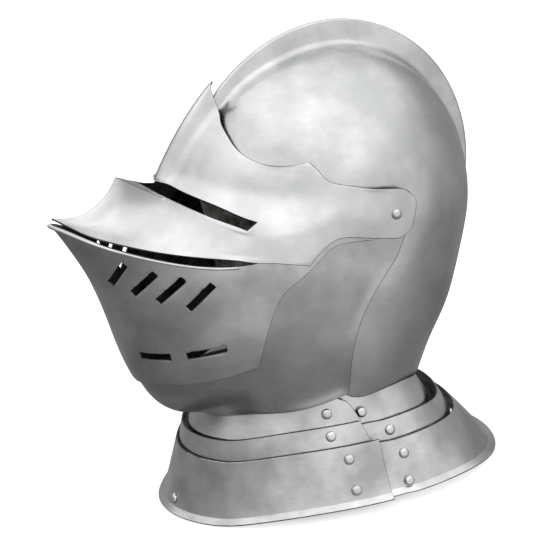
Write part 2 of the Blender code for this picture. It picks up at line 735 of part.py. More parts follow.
bevor_place = banded(BEVOR, BEVOR_UPPER, BEVOR_LOWER, BEVOR_ENDS, BEVOR_END, BEVOR_COLUMNS, BEVOR_ROWS,
                     BEVOR_CORNER)
ventail_place = banded(VENTAIL, VENTAIL_UPPER, VENTAIL_LOWER, VENTAIL_ENDS, VENTAIL_END, VENTAIL_COLUMNS,
                       VENTAIL_ROWS, VENTAIL_CORNER)
PLATES = [
    ("skull", skull_sheet(), fixed),
    ("visor", visor_sheet(), visor_axis),
    ("ventail", sheet(VENTAIL_COLUMNS, VENTAIL_ROWS, ventail_place), ventail_axis),
    ("bevor", sheet(BEVOR_COLUMNS, BEVOR_ROWS, bevor_place), bevor_axis),
]
for name, shape, axis in PLATES:
    obj = plate(name, shape, STEEL_FINISHES[name], axis)
    cut(obj, pivot_drill)
    if name == "ventail":
        cut(obj, add_slot_cutter(axis))
add_gorget("front", FRONT_LAMES, FRONT_RIVETS, 180, bevor_axis)
add_gorget("rear", REAR_LAMES, REAR_RIVETS, 0, fixed)
for side in SIDES:
    add_pivot(side, fixed)
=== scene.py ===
"""Close helmet of satin-polished steel: the look of every plate, rivet and pivot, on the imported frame.

Shapes are worked out in millimetres about the middle of the pivot axis: +X is the wearer's left, -Y the
way that the face looks, +Z up. An angle is in degrees, 0 straight ahead and 90 straight up. A share runs
from 0 at the pivot to 1 on the middle line of the helmet.
"""

import json
from math import acos, asin, atan2, cos, degrees, hypot, pi, radians, sin

import bmesh
import bpy
import numpy as np
from mathutils import Matrix, Vector


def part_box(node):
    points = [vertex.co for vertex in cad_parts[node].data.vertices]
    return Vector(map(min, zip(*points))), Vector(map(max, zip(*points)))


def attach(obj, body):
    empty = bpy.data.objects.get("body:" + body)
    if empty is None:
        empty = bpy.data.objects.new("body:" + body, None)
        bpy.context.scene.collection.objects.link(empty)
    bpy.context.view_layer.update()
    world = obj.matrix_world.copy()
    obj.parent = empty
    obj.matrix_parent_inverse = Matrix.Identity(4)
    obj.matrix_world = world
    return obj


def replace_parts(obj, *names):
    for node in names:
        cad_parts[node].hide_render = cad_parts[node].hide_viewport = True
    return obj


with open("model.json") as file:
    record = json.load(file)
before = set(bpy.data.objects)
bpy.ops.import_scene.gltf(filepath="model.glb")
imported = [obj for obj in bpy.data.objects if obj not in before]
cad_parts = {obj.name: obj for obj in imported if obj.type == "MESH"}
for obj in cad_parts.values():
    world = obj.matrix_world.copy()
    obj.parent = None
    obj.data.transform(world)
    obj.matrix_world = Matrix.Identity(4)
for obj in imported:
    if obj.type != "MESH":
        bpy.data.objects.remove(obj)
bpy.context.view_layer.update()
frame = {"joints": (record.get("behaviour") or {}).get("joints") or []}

MM = 0.001
PIVOT = Vector(frame["joints"][0]["pos_m"])
PIVOT_HEIGHT = 224.0
# the plates' thickness, and the gap between one and the next
STEEL = 1.4
PLATE_GAP = 0.5
LAYER = STEEL + PLATE_GAP
SKULL_HALF_WIDTH = 98.3
BEVOR_HALF_WIDTH = SKULL_HALF_WIDTH + LAYER
VENTAIL_HALF_WIDTH = BEVOR_HALF_WIDTH + LAYER
VISOR_HALF_WIDTH = VENTAIL_HALF_WIDTH + LAYER

# all plates bear on one another over the same shallow dish round the pivot: its own radius, and the distances
# from the pivot between which they leave it
DISH_RADIUS = 240.0
DISH_INNER = 20.0
DISH_OUTER = 52.0
# the radius of each head, and how far its crown stands up
PIVOT_HEAD = 4.1
PIVOT_RISE = 2.6
RIVET_HEAD = 3.7
RIVET_RISE = 2.3
SIDES = {"left": 1, "right": -1}
# the share up to which a plate's own side reach rules its shape, and over which its middle line takes over
PLAIN_SIDE = 0.35
WAVY_FRONT = 0.35
# points well inside the head and the gorget, which tell a sheet's outer face from its inner one
HEAD_INSIDE = Vector((0, -30, -30))
NECK_INSIDE = Vector((0, -20, -200))


def spline(rows):
    """A natural cubic through rows of (position, value, ...), as a function of the position."""
    table = np.array(rows, float)
    place, values = table[:, 0], table[:, 1:]
    count = len(place)
    step = np.diff(place)
    matrix = np.eye(count)
    bend = np.zeros_like(values)
    for i in range(1, count - 1):
        matrix[i, i - 1 : i + 2] = step[i - 1], 2 * (step[i - 1] + step[i]), step[i]
        slopes = np.diff(values[i - 1 : i + 2], axis=0) / step[i - 1 : i + 1, None]
        bend[i] = 6 * (slopes[1] - slopes[0])
    bend = np.linalg.solve(matrix, bend)

    def at(position):
        position = min(max(position, place[0]), place[-1])
        i = min(int(np.searchsorted(place, position, "right")) - 1, count - 2)
        wide = step[i]
        a = (place[i + 1] - position) / wide
        b = 1 - a
        curve = ((a**3 - a) * bend[i] + (b**3 - b) * bend[i + 1]) * wide * wide / 6
        found = a * values[i] + b * values[i + 1] + curve
        return float(found[0]) if len(found) == 1 else found

    return at


def rail(points, corner=None):
    """A smooth line through points, one at each whole station, with a sharp turn at the corner's station."""
    rows = [(i, *point) for i, point in enumerate(points)]
    if corner is None:
        return spline(rows)
    before = spline(rows[: corner + 1])
    after = spline(rows[corner:])
    return lambda station: before(station) if station <= corner else after(station)


def smooth(value):
    """0 up to 0, 1 from 1 on, and an even curve between."""
    value = min(max(value, 0.0), 1.0)
    return value * value * (3 - 2 * value)


def mix(first, second, part):
    """What lies part of the way from the first to the second."""
    return first + (second - first) * part


class Shell:
    """A plate's outer surface: ovals nested about the pivot axis, round at the side and met at the middle."""

    def __init__(self, half_width, reach, fullness=2.0, pinch=None, first=-180.0, side_reach=None):
        self.half_width = half_width
        self.reach = spline(reach)
        # a plate whose middle line is wavy can be plainer at its sides
        self.side_reach = spline(side_reach) if side_reach else self.reach
        self.fullness = fullness
        self.pinch = spline(pinch) if pinch else lambda angle: 2.0
        self.first = first

    def turn(self, angle):
        return (angle - self.first) % 360 + self.first

    def side(self, angle, out):
        """How far to the side the surface lies, at an angle and a distance out from the axis."""
        fall = 1 - min(out / self.side_reach(angle), 1.0) ** self.fullness
        own = self.half_width * fall ** (1 / self.pinch(angle))
        dish = self.half_width - out * out / (2 * DISH_RADIUS)
        blend = smooth((out - DISH_INNER) / (DISH_OUTER - DISH_INNER))
        return dish + (own - dish) * blend

    def point(self, angle, share):
        angle = self.turn(angle)
        reach = mix(self.side_reach(angle), self.reach(angle), smooth((share - PLAIN_SIDE) / WAVY_FRONT))
        out = reach * sin(share * pi / 2) ** (2 / self.fullness)
        across = self.half_width * cos(share * pi / 2) ** (2 / self.pinch(angle))
        if out < DISH_OUTER:
            across = self.side(angle, out)
        return Vector((across, -out * cos(radians(angle)), out * sin(radians(angle))))

    def share(self, angle, out):
        ratio = min(out / self.side_reach(self.turn(angle)), 1.0)
        return asin(ratio ** (self.fullness / 2)) * 2 / pi

    def share_at(self, angle, across):
        """The share at which the surface is that far from the middle line."""
        return acos((across / self.half_width) ** (self.pinch(self.turn(angle)) / 2)) * 2 / pi

    def disc(self, place):
        """A point given by its place in the flat disc."""
        return self.point(degrees(atan2(place[1], place[0])), hypot(*place))


def on_disc(angle, share):
    """A place in the flat disc whose rim is a shell's middle line."""
    return np.array((share * cos(radians(angle)), share * sin(radians(angle))))


# --- the four shells
# rows of (angle, reach out to the middle line), and of (angle, pinch): below 2, a plate comes to a keel along
# its middle
SKULL = Shell(
    SKULL_HALF_WIDTH,
    [(10, 124), (20, 118), (30, 113), (40, 111), (49, 110), (57, 108.5), (68, 106), (90, 104.5), (120, 106),
     (150, 106.3), (180, 106.3), (195, 108.9), (210, 112.8), (225, 123), (238, 138), (251.5, 160), (260, 188),
     (270, 222), (285, 230), (294, 212), (303, 198), (330, 165), (370, 124)],
    pinch=[(10, 1.75), (30, 1.8), (45, 1.85), (60, 1.93), (80, 2), (370, 2)],
    first=10.0,
)
BEVOR = Shell(
    BEVOR_HALF_WIDTH,
    [(-180, 190), (-165, 200), (-150, 222), (-140, 235), (-120, 240), (-90, 240), (-75, 245), (-65, 223),
     (-57, 206), (-50, 195.5), (-46, 202), (-42, 206.5), (-38, 206), (-33, 202.5), (-25, 198), (-15, 194),
     (0, 190), (180, 190)],
    side_reach=[(-180, 190), (-165, 200), (-150, 222), (-140, 235), (-120, 240), (-90, 240), (-75, 236),
                (-62, 222), (-50, 211), (-40, 206), (-30, 200), (-15, 194), (0, 190), (180, 190)],
)
VENTAIL = Shell(
    VENTAIL_HALF_WIDTH,
    [(-180, 234), (-150, 231), (-120, 219), (-100, 215), (-60, 215), (-45, 212), (-34, 206), (-25.4, 200),
     (-17.8, 196.6), (-11.9, 197.4), (-7, 201), (-2.5, 207.3), (2.3, 216.8), (4.8, 223.3), (9, 234),
     (20, 234), (180, 234)],
    fullness=2.1,
    pinch=[(-100, 2), (-34, 2), (-20, 1.9), (-10, 1.75), (-5, 1.58), (0, 1.42), (5, 1.3), (9, 1.25),
           (180, 1.25)],
)
VISOR = Shell(
    VISOR_HALF_WIDTH,
    [(-180, 110), (-150, 125), (-120, 165), (-95, 197), (-80, 205), (-65, 205), (-50, 204), (-35, 203),
     (-20, 202), (-12, 204), (-5, 194), (3, 172), (8, 154), (14.5, 135), (18, 131.5), (24.7, 127),
     (33, 121.5), (43, 117), (49, 113), (60, 110), (90, 110), (180, 110)],
    pinch=[(-80, 2), (-12, 2), (0, 1.85), (8, 1.6), (14.5, 1.42), (30, 1.42), (43, 1.45), (60, 1.6), (90, 2),
           (180, 2)],
)

# --- the comb, and the brow's hollow ridge that rides over it
# rows of (angle, distance out to the crest)
COMB_TOP = spline(
    [(22, 118), (40, 120), (64, 121), (83, 122.6), (102, 124), (122, 124.6), (139, 125.3), (157, 125.2),
     (167, 124.8), (180, 124), (192, 122.5), (204, 120.5), (215, 121.5), (228, 127), (240, 142), (251.5, 160)]
)
# rows of (distance from the middle line, share of the crest's height): a narrow folded crest on a hollow foot
COMB_SECTION = [(0, 1.0), (0.7, 0.998), (1.3, 0.985), (1.75, 0.95), (2.05, 0.89), (2.25, 0.8), (2.4, 0.66),
                (2.55, 0.5), (2.75, 0.35), (3.1, 0.25), (3.8, 0.165), (4.8, 0.105), (6.2, 0.055), (8, 0.02),
                (10, 0.0)]
RIDGE_TOP = spline([(13, 143.6), (23.3, 136.6), (33, 132.2), (42.8, 129.4), (50, 128.2)])
RIDGE_SECTION = [(0, 1.0), (2.2, 0.97), (4.6, 0.72), (7, 0.3), (11, 0.0)]

# --- the skull's sheet
SKULL_COLUMNS = 120
BOWL_ROWS = 44
BROW_ANGLE = 30.0
NAPE_ANGLE = 251.5
# rows of (angle, share)
FACE_EDGE = [(12, 0.45), (-5, 0.34), (-30, 0.29), (-50, 0.33), (-64, 0.43)]
NECK_EDGE = [(-108.5, 0.935), (-105.8, 0.733), (-100.5, 0.58), (-95, 0.48), (-86, 0.42), (-76, 0.43),
             (-64, 0.43)]

# --- the bevor's sheet: its edges, its corner's station, and its round end about the pivot, whose rows give
# the upper and the lower edge's angles
BEVOR_COLUMNS = 96
BEVOR_ROWS = 36
BEVOR_END = 17.5
BEVOR_UPPER = [(-32, 1.0), (-31.8, 0.74), (-28.5, 0.52), (-22, 0.41), (-12, 0.31), (-3, 0.21), (8, 0.14),
               (30, 0.1)]
BEVOR_LOWER = [(-50, 1.0), (-53.5, 0.74), (-61.5, 0.533), (-73.5, 0.405), (-69.2, 0.3), (-68.6, 0.2),
               (-80, 0.117), (-93, 0.087)]
BEVOR_CORNER = 3
BEVOR_ENDS = [(75, -132), (110, -148), (145, -165)]

# --- the ventail's sheet
VENTAIL_COLUMNS = 120
VENTAIL_ROWS = 48
VENTAIL_END = 16.5
VENTAIL_UPPER = [(5.2, 1.0), (4.2, 0.86), (1.6, 0.74), (-2, 0.6), (-5.5, 0.49), (-8, 0.4), (-9, 0.32),
                 (-8.8, 0.24), (-8.5, 0.17), (-7, 0.125), (5, 0.08)]
VENTAIL_LOWER = [(-33.7, 1.0), (-33.4, 0.87), (-35.4, 0.72), (-38.6, 0.585), (-42.5, 0.474), (-33.9, 0.385),
                 (-26, 0.315), (-23.2, 0.24), (-17, 0.17), (-20.5, 0.118), (-38, 0.071)]
VENTAIL_CORNER = 4
VENTAIL_ENDS = [(65, -72), (105, -105), (145, -140)]
SLOT_WIDTH = 5.0
# rows of (upper angle, upper share, lower angle, lower share): the ends of each slot on the wearer's left
SLOTS = [
    (-3.3, 0.701, -8.1, 0.824),
    (-6.2, 0.622, -10.7, 0.747),
    (-8.7, 0.549, -13.4, 0.666),
    (-12.2, 0.479, -17.1, 0.578),
    (-26.0, 0.848, -27.6, 0.710),
    (-28.7, 0.647, -31.5, 0.517),
]
# how far past a slot's ends its cuts run, and how near a vertex has to be for a cut to go through it
SLOT_MARGIN = 8.0
CUT_REACH = 0.01
# a vertex this near to another, where a slot's edge has cut a corner off a face, is merged with it
SLIVER = 0.6

# --- the visor's sheet
# the face columns lie at these distances from the middle line, and the arm columns follow on stations
FACE_COLUMNS = [0, 2.2, 4.6, 7, 11, 18, 28, 40, 53, 66, 78]
FACE_STEPS = 56
ARM_COLUMNS = 60
VISOR_END = 18.7
# rows of (distance from the middle line, angle): the upper rear edge and the sight's upper edge
UPPER_EDGE = spline([(0, 48.8), (5, 45.2), (10, 41.6), (25.5, 35.6), (39.5, 31.6), (51.9, 29.7), (61.8, 29.9),
                     (68.8, 32.2), (75.1, 37), (78, 40.6)])
BROW_EDGE = spline([(0, 13.6), (10, 13.1), (21.9, 12.4), (39.5, 11.3), (58.4, 9.5), (78, 6.3)])
# rows of (angle, share), from the sight's outer end back to the pivot
ARM_UPPER = [(40.6, 0.397), (38.4, 0.347), (35.8, 0.308), (36.7, 0.263), (45.6, 0.194), (63, 0.139)]
ARM_LOWER = [(-5.9, 0.411), (-8.3, 0.361), (-11.5, 0.3), (-19.4, 0.236), (-13.1, 0.188), (-10.6, 0.154),
             (-14, 0.123), (-29.7, 0.085)]
ARM_LOWER_CORNER = 3
VISOR_ENDS = [(98, -66.6), (125, -98), (152, -132)]
# the sight's outer end: its upper edge, its sill and the shelf's outer rim
SIGHT_END = [(6.3, 0.423), (3.6, 0.432), (2.6, 0.433)]
# the rows over the sight, on the sill's narrow shelf and on the beak: the sight itself is one row more
UPPER_ROWS = 28
BEAK_ROWS = 28
SHELF_ROWS = 2
VISOR_ROWS = UPPER_ROWS + 1 + SHELF_ROWS + BEAK_ROWS
# the peak of the rim under the sight: how far forward, and how far up
RIM_PEAK = (168.6, 42.9)
# rows of (distance from the middle line, forward, up)
SIGHT_SILL = spline([(0, 151.3, 34.5), (28, 141.8, 27.3), (47, 131.0, 20.0), (64, 118.4, 12.4),
                     (78, 109.3, 7.0)])
BEAK_EDGE = spline([(0, 221, 24.2), (7, 213.2, 18.6), (16, 205.2, 12.9), (30, 192.2, 7.2), (54, 162.4, -2.7),
                    (70.6, 135.5, -9.1), (82.5, 117.1, -12.1)])
# rows of (distance from the middle line, depth): how far the beak's top is hollowed from the straight
BEAK_HOLLOW = spline([(0, 32.5), (14, 26), (30, 18), (54, 7), (82.5, -1)])
BEAK_REACH = 82.5
RIDGE = spline(RIDGE_SECTION)

# --- the gorget
# how far a ring's widest place leans toward the back, at the neck and at the rim, and how square a ring is
NECK_Z = -149.0
RIM_Z = -PIVOT_HEIGHT
NECK_LEAN = 0.19
BASE_LEAN = 0.12
SQUARE = 0.025
# how far the rings arch up at the sides, and from how far round
SIDE_ARCH = 7.0
ARCH_START = 0.45
LAME_COLUMNS = 90
# how many times a lame's rings are doubled
RING_PASSES = 3
# how far a lame's hidden lower margin reaches down under the next lame, and how fast it ends at the side
LAME_MARGIN = 12.0
MARGIN_FADE = 3
# rows of (turn at the top edge, turn at the foot): where each lame ends, at the side of the neck
LAME_ENDS = {
    "front_lame_upper": (93.3, 89.1),
    "front_lame_middle": (90.0, 88.2),
    "front_lame_lower": (86.8, 90.4),
}
REAR_END = 97.0
# a rear lame's end is drawn in to pass behind the front one
TUCK = 2.0
TUCK_START = 80.0
TUCK_END = 86.5
# how far a front lame's top edge is rounded down towards its end, below the skull's corner
CORNER_DROP = {"front_lame_upper": 8.5}
CORNER_START = 105.0
CORNER_END = 93.0
# how fast that drop fades down from the top edge
DROP_FADE = 2.0
# rows of (height, half width, front, back), each the ring of a lame's outer face
FRONT_LAMES = {
    "front_lame_upper": [(-140, 78.4, 116, 44), (-151, 79.3, 121, 51), (-165, 82.6, 130, 62)],
    "front_lame_middle": [(-164, 84.6, 134.5, 66), (-172, 87.5, 136.5, 70), (-182, 90.4, 138.5, 75)],
    "front_lame_lower": [(-178.5, 92.6, 140, 79), (-197, 96.6, 146.5, 92), (-212, 100.6, 152, 104),
                         (-218.6, 102.8, 154.8, 109.6), (-219, 103.0, 155.1, 110),
                         (-219.3, 103.4, 155.5, 110.6), (-222.6, 107.0, 159.4, 116)],
}
REAR_LAMES = {
    "rear_lame_upper": [(-136, 71.6, 118, 39), (-151, 73.6, 121.5, 47), (-174, 80.5, 128, 60)],
    "rear_lame_middle": [(-169, 82.4, 131, 66.5), (-177, 85.0, 134, 71), (-188, 88.5, 136, 76)],
    "rear_lame_lower": [(-183, 90.4, 138, 79), (-200, 94.5, 144, 93), (-212, 98.1, 149.4, 102),
                        (-218.6, 100.3, 152.6, 106.9), (-219, 100.5, 153.0, 107.3),
                        (-219.3, 100.9, 153.4, 107.9), (-222.6, 104.4, 157.4, 113.5)],
}
# rows of (lame, turn from the back, height): the rivets of the wearer's left side
FRONT_RIVETS = {
    "upper": ("front_lame_upper", 104.0, -148.6),
    "middle": ("front_lame_middle", 103.8, -163.9),
    "lower_high": ("front_lame_lower", 100.4, -181.6),
    "lower_low": ("front_lame_lower", 101.1, -204.7),
}
REAR_RIVETS = {
    "upper": ("rear_lame_upper", 85.4, -153.9),
    "middle": ("rear_lame_middle", 78.5, -170.1),
    "lower_high": ("rear_lame_lower", 79.3, -187.9),
    "lower_low": ("rear_lame_lower", 82.1, -208.2),
}
FRONT_CENTRE_RIVET = ("front_lame_lower", 180, -214.3)

# --- how the sheets are worked once they are shaped
# how many times each place is eased, and over how many columns and rows the easing starts
EASING_PASSES = 60
FOLD_FADE = (8, 5)
JOIN_FADE = 5
# the columns and rows of the bevor between which its fold over the gorget is worn down
BEVOR_FOLD = ((4, 52), (10, 36))
# how far up from its foot the bevor turns outward, by how much, and the columns over which that dies away
BEVOR_FLARE = 9.0
BEVOR_LIFT = 1.6
BEVOR_FADE = (28, 37, 70, 82)
# where the face's way of shaping starts to give way to the arm's, from the middle line
FACE_JOIN = 54.0
# the columns between which the visor's face and arm are eased into one another, and over how many rows that
# starts, away from a row whose own bend is kept
VISOR_JOIN = (FACE_STEPS - 14, FACE_STEPS + 16)
KEPT_REACH = 5
# the columns and rows of the visor between which its bends behind the sight are worn down
TEMPLE = ((FACE_STEPS + 1, FACE_STEPS + 50), (3, VISOR_ROWS - 3))
# the station past which the arm's upper edge, which has fewer points, falls behind its lower one
ARM_BEND = 5
# how soon along a plate its rows turn from arcs about the pivot to straight ones, and lose the sight's bend
ROWS_TURN = 1.6
BEND_FADE = 2
# where the visor arm's end starts to bow out, how long that takes, and how far it goes, as a share of the
# distance from the pivot to it
BOW_START = 0.8
BOW_LENGTH = 0.2
END_BOW = 0.2
# the beak's keel: how far it stands out of the hollow at the middle line, and how far out it runs
KEEL_RISE = 11.0
KEEL_REACH = 8.0
# how far the visor's brow edge is closed down on the skull at some columns, and over how many rows
BROW_CLOSE_COLUMNS = (5, 18, 44, 56)
BROW_CLOSE = (0, 2.8, 1.6, 0)
BROW_CLOSE_ROWS = 14
# the bead along the ventail's top edge, and how far its middle lies down from the edge and out from the steel
BEAD_RADIUS = 1.7
BEAD_LOW = 1.1
BEAD_PROUD = 0.5
BEAD_SIDES = 16
BEAD_COLUMNS = 58
# how many places a plate's length is measured at, to space its columns evenly
LENGTH_STEPS = 400

# --- heads and shanks
TURNED_SIDES = 32
DOME_STEPS = 8
# how full a head's crown is, below 1 being fuller than an oval, and its foot, which turns in under it
DOME_FULLNESS = 0.9
HEAD_FOOT = (0.8, -0.3)
# a rivet's head has spread a little under the hammer and stands this far off the lame
HEAD_SPREAD = 1.1
RIVET_SEAT = 0.35
# rows of (share of the head's radius, height): a rivet's shank, and its tail hammered over inside the lame
RIVET_TAIL = [(0.3, -0.25), (0.3, -STEEL), (0.7, -STEEL), (0.6, -STEEL - 0.6), (0, -STEEL - 0.9)]
# a pivot's shank and the washer inside the plates, as shares of its head's radius
PIVOT_SEAT = 0.1
PIVOT_SHANK = 0.6
SHANK_TOP = -0.25
WASHER = 1.2
WASHER_DEEP = 1.5

# --- making the plates
EDGE_ROUND = 0.4
INSIDE_SLOT = 1
SHADED_EDGE_SLOT = 2
# an edge whose faces turn by more degrees than the first is a sharp line, and past the second it is rounded
SHARP_TURN = 38
ROUNDED_TURN = 75
# vertices this near one another are one
ONE_POINT = 0.001


def lifted(shell, angle, share, top, height):
    """A point of a shell, raised part of the way to a crest line that runs along its middle."""
    point = shell.point(angle, share)
    angle = shell.turn(angle)
    out = hypot(point.y, point.z)
    raised = (out + height * (top(angle) - shell.reach(angle))) / out
    return Vector((point.x, point.y * raised, point.z * raised))


def swept(first, second, part):
    """A point part of the way between two of the disc, along an arc about the pivot."""
    angles = [degrees(atan2(spot[1], spot[0])) for spot in (first, second)]
    return on_disc(mix(*angles, part), mix(hypot(*first), hypot(*second), part))


# --- the studio
# rows of (nearness to the middle of the light, brightness)
OVERHEAD = [(-1, 0.1), (-0.8, 0.08), (-0.6, 0.08), (-0.4, 0.14), (-0.2, 0.16), (0.15, 0.17), (0.3, 0.2),
            (0.44, 0.27), (0.56, 0.56), (0.8, 0.7), (1, 0.8)]
LAMP = [(-1, 0.03), (-0.5, 0.03), (0, 0.06), (0.3, 0.14), (0.56, 0.29), (0.74, 0.49), (1, 0.48)]
LAMP_TURN = 98.0
LAMP_RISE = 26.8
SKY_STRENGTH = 1.64
FLOOR_REACH = 12.0
PAPER_GLOW = 0.75
# the light behind the paper is weaker inside the helmet's foot, an ellipse: the move that centres it, one
# over its half sizes in metres, and the shares of the way out between which the light grows to its full glow
STAND_SHIFT = (0, -0.196, 0)
STAND_SHRINK = (9.5, 7.4, 1)
STAND_RIM = (0.8, 0.92)
STAND_GLOW = 0.5
VIEW_TURN = 26.0
VIEW_RISE = 19.1
VIEW_TILT = -5.85
VIEW_LENS = 159.08
VIEW_PLACE = Vector((1.5198, -0.7449, 0.7526))


# --- finishes
def linear(code):
    """A colour given as an sRGB hex code, in the renderer's linear values."""
    shares = [int(code[i : i + 2], 16) / 255 for i in (1, 3, 5)]
    return (*[share / 12.92 if share <= 0.04045 else ((share + 0.055) / 1.055) ** 2.4 for share in shares], 1)


class Finish:
    """The nodes of a material or of the sky, added one at a time."""

    def __init__(self, owner):
        owner.use_nodes = True
        self.owner = owner
        self.nodes = owner.node_tree.nodes
        self.links = owner.node_tree.links

    def add(self, kind, sockets=(), out=0, **settings):
        """One output of a new node, with its settings made and its sockets filled."""
        node = self.nodes.new(kind)
        for key, value in settings.items():
            setattr(node, key, value)
        self.fill(node, sockets)
        return node.outputs[out]

    def fill(self, node, sockets):
        """Gives a node's sockets, by name or else in order, each a value or another node's output."""
        for key, value in sockets.items() if isinstance(sockets, dict) else enumerate(sockets):
            if isinstance(value, bpy.types.NodeSocket):
                self.links.new(value, node.inputs[key])
            else:
                node.inputs[key].default_value = value

    def patches(self, size_mm, detail=2.0, rough=0.5, stretch=(1, 1, 1)):
        """Soft patches about so many millimetres wide, drawn out along each axis by stretch."""
        place = self.add("ShaderNodeTexCoord", out="Object")
        shrink = [1 / (size_mm * MM * long) for long in stretch]
        spot = self.add("ShaderNodeMapping", {"Vector": place, "Scale": shrink})
        sockets = {"Vector": spot, "Scale": 1.0, "Detail": detail, "Roughness": rough}
        return self.add("ShaderNodeTexNoise", sockets)


def satin_steel(name, light, dark, polish, grain=0.05, specks=0.5):
    """Steel sheet raised over a stake, planished, and rubbed down by hand with a fine abrasive.

    The rubbing leaves a grain too fine to see that softens each reflection. The hammer leaves a surface that
    rolls by a few hundredths of a millimetre, so that broad reflections break up into soft clouds."""
    made = Finish(bpy.data.materials.new(name))
    # clouds of a slightly greyer, duller steel about 40 mm across, and faint smears 27 mm long and 5 mm high
    cloud = made.add("ShaderNodeMapRange", (made.patches(42, 3, 0.55), 0.36, 0.66, 0, 1))
    smear = made.add("ShaderNodeMapRange", (made.patches(9, 4, 0.6, (3, 3, 0.6)), 0.35, 0.7, 0, 1))
    faint = made.add("ShaderNodeMath", (smear, 0.22), operation="MULTIPLY")
    # rub marks: a grain drawn out level, 12 mm long and half a millimetre high, coarser than the real one
    rub = made.patches(0.5, 3, 0.6, (24, 24, 1))
    marks = made.add("ShaderNodeMapRange", (rub, 0.35, 0.7, 0, grain * 2))
    # pin-prick pits with a rust stain in them, up to a millimetre across and 9 mm apart, here and there
    place = made.add("ShaderNodeTexCoord", out="Object")
    spot = made.add("ShaderNodeTexVoronoi", {"Vector": place, "Scale": 1 / (9 * MM)}, out="Distance")
    near = made.add("ShaderNodeMapRange", (spot, 0.02, 0.055, specks, 0))
    few = made.add("ShaderNodeMapRange", (made.patches(30, 1), 0.56, 0.62, 0, 1))
    pits = made.add("ShaderNodeMath", (near, few), operation="MULTIPLY")
    shade = linear(light)
    for where, tint in ((cloud, dark), (faint, dark), (marks, dark), (pits, "#4A4541")):
        shade = made.add("ShaderNodeMix", {0: where, 6: shade, 7: linear(tint)}, out=2, data_type="RGBA")
    dull = made.add("ShaderNodeMapRange", (cloud, 0, 1, polish - 0.04, polish + 0.06))
    drag = made.add("ShaderNodeMapRange", (rub, 0.3, 0.7, -grain, grain))
    dull = made.add("ShaderNodeMath", (dull, drag), operation="ADD")
    # the planished surface, and the grain over it
    height = made.patches(16, 1.5)
    roll = made.add("ShaderNodeBump", {"Strength": 1.0, "Distance": 0.12 * MM, "Height": height})
    fine = {"Strength": 0.25, "Distance": 0.02 * MM, "Height": rub, "Normal": roll}
    relief = made.add("ShaderNodeBump", fine)
    face = {"Base Color": shade, "Metallic": 1.0, "Roughness": dull, "Normal": relief}
    made.fill(made.nodes["Principled BSDF"], face)
    return made.owner


def raw_steel(name, light, dark, metal):
    """The inside of the plates, left as the fire and the hammer left it: dark scale, patchy and rough."""
    made = Finish(bpy.data.materials.new(name))
    patch = made.add("ShaderNodeMapRange", (made.patches(18, 5, 0.65), 0.36, 0.62, 0, 1))
    shade = {0: patch, 6: linear(dark), 7: linear(light)}
    dents = {"Strength": 0.6, "Distance": 0.4 * MM, "Height": made.patches(6, 3)}
    face = {
        "Base Color": made.add("ShaderNodeMix", shade, out=2, data_type="RGBA"),
        "Metallic": metal,
        "Roughness": made.add("ShaderNodeMapRange", (patch, 0, 1, 0.75, 0.5)),
        "Normal": made.add("ShaderNodeBump", dents),
    }
    made.fill(made.nodes["Principled BSDF"], face)
    return made.owner


SKULL_STEEL = satin_steel("satin_polished_skull_steel", "#DDDDDD", "#BEBFC0", 0.25)
VISOR_STEEL = satin_steel("satin_polished_visor_steel", "#DFDFDF", "#C4C5C6", 0.25)
VENTAIL_STEEL = satin_steel("satin_polished_ventail_steel", "#DEDEDE", "#B2B2B2", 0.27)
BEVOR_STEEL = satin_steel("satin_polished_bevor_steel", "#D0D0D0", "#AEAEAE", 0.28)
# the gorget was rubbed with a coarser abrasive, so that its grain shows as level streaks
LAME_STEEL = satin_steel("brushed_gorget_steel", "#E8E8E8", "#B2B2B2", 0.24, grain=0.1, specks=0.9)
# the heads were rounded under the hammer, which leaves them brighter and tighter than the sheet
RIVET_STEEL = satin_steel("peened_rivet_steel", "#E2E2E2", "#C8C8C8", 0.2, specks=0)
INSIDE_STEEL = raw_steel("raw_steel_inside", "#6A6865", "#1E1D1C", 0.75)
# the skull's inside is painted a much lighter grey, with less metal, than the other plates' insides: painted
# light, brighter than the little light that reaches in through the sight and the neck
SKULL_INSIDE_PAINTED_LIGHT = raw_steel("painted_light_inside_skull", "#F0EEEA", "#55524E", 0.2)
# the plates' cut edges and their rounding are painted a dark, duller grey: painted shade standing in for the
# thin dark line of shadow and dark reflection along each plate's edge
SHADED_EDGE_STEEL = satin_steel("painted_shade_edge_steel", "#6A6A6A", "#484848", 0.4, specks=0)


# --- making the plates
def face_outward(bm, inside):
    """Turns a sheet's faces to point away from a place inside it."""
    bmesh.ops.recalc_face_normals(bm, faces=bm.faces)
    bm.normal_update()
    outward = [face.normal.dot(face.calc_center_median() - inside) * face.calc_area() for face in bm.faces]
    if sum(outward) < 0:
        bmesh.ops.reverse_faces(bm, faces=bm.faces)


def grid_of(columns, rows, place):
    """A grid of points, columns by rows, from the function that places them."""
    return np.array([[place(column, row) for row in range(rows + 1)] for column in range(columns + 1)])


def evened(grid, first, last, kept_rows):
    """The grid eased along its columns between two of them, where two ways of shaping meet, but not at the
    rows whose own bends are kept."""
    columns, rows = np.arange(len(grid)), np.arange(len(grid[0]))
    weight = np.clip((columns - first) / JOIN_FADE, 0, 0.5) * 2
    weight = weight * np.clip((last - columns) / JOIN_FADE, 0, 0.5)
    apart = np.min([abs(rows - kept) for kept in kept_rows], axis=0)
    weight = weight[:, None] * np.clip(apart / KEPT_REACH, 0, 1)[None, :]
    for _ in range(EASING_PASSES):
        bend = np.zeros_like(grid)
        bend[1:-1] = (grid[:-2] + grid[2:]) / 2 - grid[1:-1]
        grid = grid + weight[:, :, None] * bend
    return grid


def facings(grid, inside):
    """Which way a grid of points faces at each of them."""
    ways = np.cross(np.gradient(grid, axis=0), np.gradient(grid, axis=1))
    ways /= np.maximum(np.linalg.norm(ways, axis=2, keepdims=True), 1e-9)
    return ways * np.sign((ways * (grid - np.array(inside))).sum())


